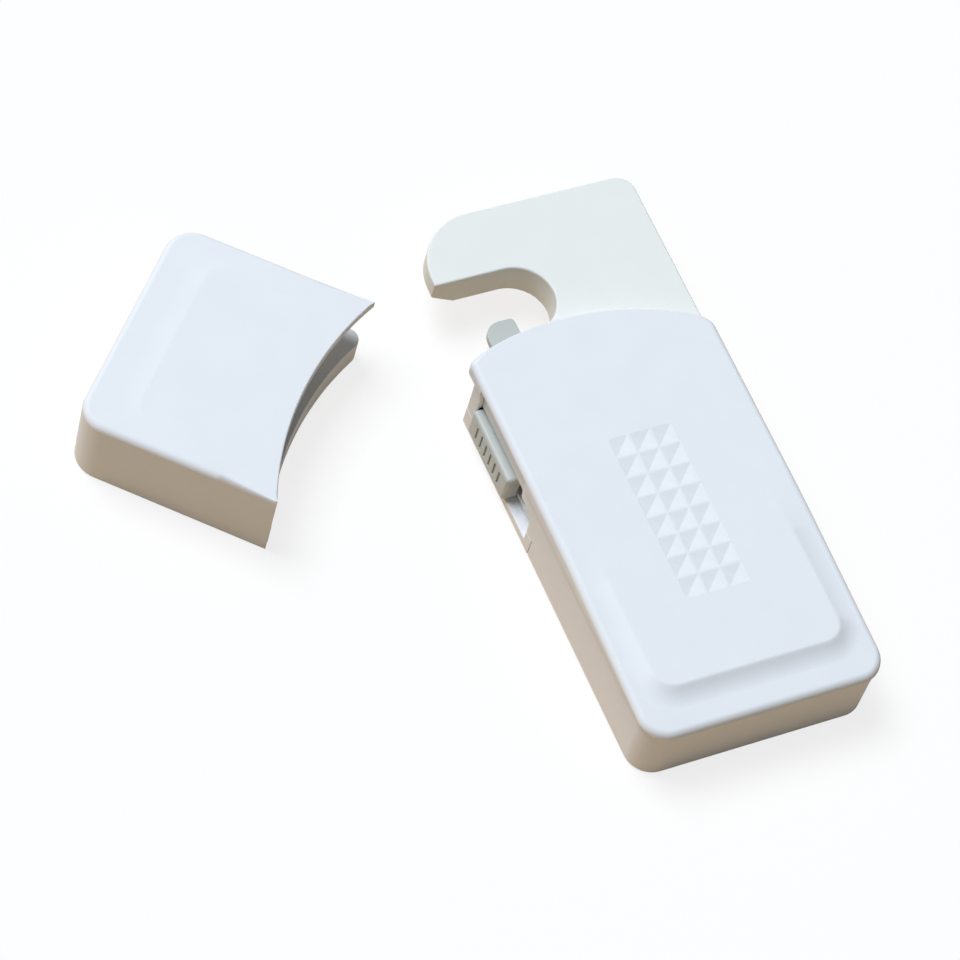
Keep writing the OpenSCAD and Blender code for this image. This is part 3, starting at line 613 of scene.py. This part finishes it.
class LOCK_OT_catch(bpy.types.Operator):
    """Model the catch: its cover with the falling rim, and its lower plate"""
    bl_idname = "lock.catch"
    bl_label = "Catch"

    def execute(self, context):
        s = sizes()
        wall = 1 * MM
        skirt = 0.3 * MM
        side_length = 5.9 * MM
        pad_half = s.half_width - 5 * MM
        pad_margin, rim_run = 8 * MM, 24 * MM
        centre = (0, s.catch_length + s.catch_radius)
        cover = soft_top("catch_cover_shell", pad_half, 0, pad_margin, s.pad_corner, s.pad_sweep,
                         s.catch_drop, rim_run, s.lid_top, -OVERRUN)
        plan = add_box("catch_plan", (-s.half_width, 0, skirt), (s.half_width, AHEAD, ABOVE))
        round_edges(plan, lambda e: upright(e) and middle(e).y < MM, s.catch_corner, 12)
        combine(plan, add_rod("catch_arc", s.catch_radius, -OVERRUN, ROD_TOP, centre, 256), "DIFFERENCE")
        combine(cover, plan, "INTERSECT")
        pocket = add_box("pocket", (wall - s.half_width, wall, -OVERRUN),
                         (s.half_width - wall, AHEAD, s.lid_low))
        round_edges(pocket, lambda e: upright(e) and middle(e).y < 2 * MM, s.catch_corner - wall, 10)
        combine(cover, pocket, "DIFFERENCE")
        way_in = add_box("way_in", (-s.half_width - OVERRUN, side_length, -OVERRUN), (0, AHEAD, s.lid_low))
        combine(cover, way_in, "DIFFERENCE")
        boss_radius, boss_low, boss_high, boss_y = 1.9 * MM, 4.8 * MM, 12 * MM, 3.5 * MM
        for x in (-13 * MM, 13 * MM):
            combine(cover, add_rod("boss", boss_radius, boss_low, boss_high, (x, boss_y), 48), "UNION")
        tidy(cover)

        def on_arc(place):
            return math.hypot(place.x, place.y - centre[1]) < s.catch_radius + 0.05 * MM

        round_rim(cover, s.lid_low + RIM_CLEAR, s.rim_round, lambda place: not on_arc(place))
        round_rim(cover, s.lid_low + RIM_CLEAR, s.front_share * s.rim_round, on_arc)

        def under_arc(edge):
            low = abs(middle(edge).z - s.lid_low) < 0.01 * MM
            return low and bends(edge, SHARP) and on_arc(middle(edge))

        arc_chamfer = 1.1 * MM
        round_edges(cover, under_arc, arc_chamfer, 1)
        self.place(cover)
        dress(cover, "catch", "white_abs", white_abs(), "catch_cover")
        plate = copy_node("catch_base", "catch_plate")
        round_edges(plate, lambda e: bends(e, SHARP), 0.8 * s.edge_round, 3)
        dress(plate, "catch", "white_abs", white_abs(), "catch_base")
        return {"FINISHED"}

    def place(self, piece):
        """Turns the catch to where it lies beside the lock."""
        piece.rotation_euler = (0, 0, (46.4 + 180) * DEG)
        piece.location = (-67.2 * MM, 67.4 * MM, 0)
        settle(piece)


class LOCK_OT_fittings(bpy.types.Operator):
    """Finish the fittings inside and under the lock, and cut the foam pads"""
    bl_idname = "lock.fittings"
    bl_label = "Fittings"

    def execute(self, context):
        finishes = {
            white_abs(): ("mount_base",),
            acetal(): ("pivot_bush",),
            zinc_plated_steel(): ("pivot_washer", "pivot_screw", "wave_washer", "hook_screws",
                                  "housing_screws", "detent_spring", "strike_post", "post_screw",
                                  "catch_screws"),
        }
        for material, nodes in finishes.items():
            for node in nodes:
                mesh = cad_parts[node].data
                mesh.materials.clear()
                mesh.materials.append(material)
        cut_edge = 0.12 * MM
        for name, node, body in (("round_foam", "mount_foam", "mount"),
                                 ("catch_foam_pad", "catch_foam", "catch")):
            foam = copy_node(node, name)
            round_edges(foam, lambda e: bends(e, SHARP), cut_edge, 3)
            dress(foam, body, "foam", adhesive_foam(), node)
        return {"FINISHED"}


class LOCK_OT_stage(bpy.types.Operator):
    """Set the floor, the soft light and the camera"""
    bl_idname = "lock.stage"
    bl_label = "Stage"

    def execute(self, context):
        self.floor()
        self.light()
        self.camera()
        return {"FINISHED"}

    def floor(self):
        """A table of pale wood for the light that comes back from it, seen as a white sweep."""
        free_hands()
        bpy.ops.mesh.primitive_plane_add(size=6, location=(0, 0, 0))
        table = bpy.context.object
        table.name = "table"
        material = start_material("pale_table")
        tree = material.node_tree
        rays = add_node(tree, "ShaderNodeLightPath").outputs
        seen = add_node(tree, "ShaderNodeMath", operation="ADD", use_clamp=True)
        tree.links.new(rays["Is Camera Ray"], seen.inputs[0])
        tree.links.new(rays["Is Glossy Ray"], seen.inputs[1])
        seen_too = add_node(tree, "ShaderNodeMath", operation="ADD", use_clamp=True)
        tree.links.new(seen.outputs[0], seen_too.inputs[0])
        tree.links.new(rays["Is Transmission Ray"], seen_too.inputs[1])
        wood = add_node(tree, "ShaderNodeBsdfDiffuse")
        wood.inputs["Color"].default_value = (*colours().table, 1)
        paper = add_node(tree, "ShaderNodeBsdfDiffuse")
        paper.inputs["Color"].default_value = (0.95, 0.95, 0.95, 1)
        glow = add_node(tree, "ShaderNodeEmission")
        sweep = add_node(tree, "ShaderNodeMixShader", Fac=0.2)
        tree.links.new(glow.outputs[0], sweep.inputs[1])
        tree.links.new(paper.outputs[0], sweep.inputs[2])
        both = add_node(tree, "ShaderNodeMixShader", [("Fac", seen_too.outputs[0])])
        tree.links.new(wood.outputs[0], both.inputs[1])
        tree.links.new(sweep.outputs[0], both.inputs[2])
        add_node(tree, "ShaderNodeOutputMaterial", [("Surface", both.outputs[0])])
        table.data.materials.append(material)

    def light(self):
        """A wide soft window on the far left, and a cool even sky."""
        free_hands()
        bpy.ops.object.light_add(type="AREA", location=(-1.04, 1.57, 3.6))
        window = bpy.context.object
        window.name = "window"
        window.data.shape = "SQUARE"
        window.data.size = 2.1
        window.data.energy = 173
        window.data.color = linear("#F8FAFF")
        aim = Vector((-0.02, 0.03, 0)) - window.location
        window.rotation_euler = aim.to_track_quat("-Z", "Y").to_euler()
        world = bpy.context.scene.world or bpy.data.worlds.new("sky")
        bpy.context.scene.world = world
        world.use_nodes = True
        tree = world.node_tree
        tree.nodes.clear()
        rays = add_node(tree, "ShaderNodeLightPath").outputs
        sky = add_node(tree, "ShaderNodeBackground", Strength=0.17)
        sky.inputs["Color"].default_value = (*linear("#E2F1FA"), 1)
        white = add_node(tree, "ShaderNodeBackground", Strength=1.0)
        white.inputs["Color"].default_value = (1, 1, 1, 1)
        both = add_node(tree, "ShaderNodeMixShader", [("Fac", rays["Is Camera Ray"])])
        tree.links.new(sky.outputs[0], both.inputs[1])
        tree.links.new(white.outputs[0], both.inputs[2])
        add_node(tree, "ShaderNodeOutputWorld", [("Surface", both.outputs[0])])

    def camera(self):
        """A long lens above the near left corner, tipped a little to one side."""
        free_hands()
        bpy.ops.object.camera_add(location=(-0.23921, -0.23759, 0.51295))
        view = bpy.context.object
        view.name = "camera"
        view.data.sensor_width = 36
        view.data.lens = 152.72
        forward = Vector((0.35202, 0.43604, -0.82822)).normalized()
        right = Vector((forward.y, -forward.x, 0)).normalized()
        up = right.cross(forward)
        roll = 18.72 * DEG
        across = right * math.cos(roll) + up * math.sin(roll)
        over = up * math.cos(roll) - right * math.sin(roll)
        turn = Matrix((across, over, -forward)).transposed()
        view.rotation_euler = turn.to_euler()
        bpy.context.scene.camera = view
        bpy.context.scene.view_settings.view_transform = "Standard"


class LOCK_PT_pieces(bpy.types.Panel):
    """The lock's pieces, sizes and colours"""
    bl_idname = "LOCK_PT_pieces"
    bl_label = "Cabinet safety lock"
    bl_space_type = "VIEW_3D"
    bl_region_type = "UI"
    bl_category = "Lock"

    def draw(self, context):
        column = self.layout.column()
        for operator in OPERATORS:
            column.operator(operator.bl_idname)
        for group in (context.scene.lock_sizes, context.scene.lock_colours):
            for key in group.__annotations__:
                column.prop(group, key)


OPERATORS = (LOCK_OT_lid, LOCK_OT_housing, LOCK_OT_slider, LOCK_OT_catch, LOCK_OT_fittings, LOCK_OT_stage)
CLASSES = (LockSizes, LockColours, *OPERATORS, LOCK_PT_pieces)


def register():
    for item in CLASSES:
        bpy.utils.register_class(item)
    bpy.types.Scene.lock_sizes = PointerProperty(type=LockSizes)
    bpy.types.Scene.lock_colours = PointerProperty(type=LockColours)


def unregister():
    del bpy.types.Scene.lock_sizes
    del bpy.types.Scene.lock_colours
    for item in reversed(CLASSES):
        bpy.utils.unregister_class(item)


def main():
    register()
    bpy.ops.lock.lid()
    bpy.ops.lock.housing()
    bpy.ops.lock.slider()
    bpy.ops.lock.catch()
    bpy.ops.lock.fittings()
    bpy.ops.lock.stage()


if __name__ == "__main__":
    main()
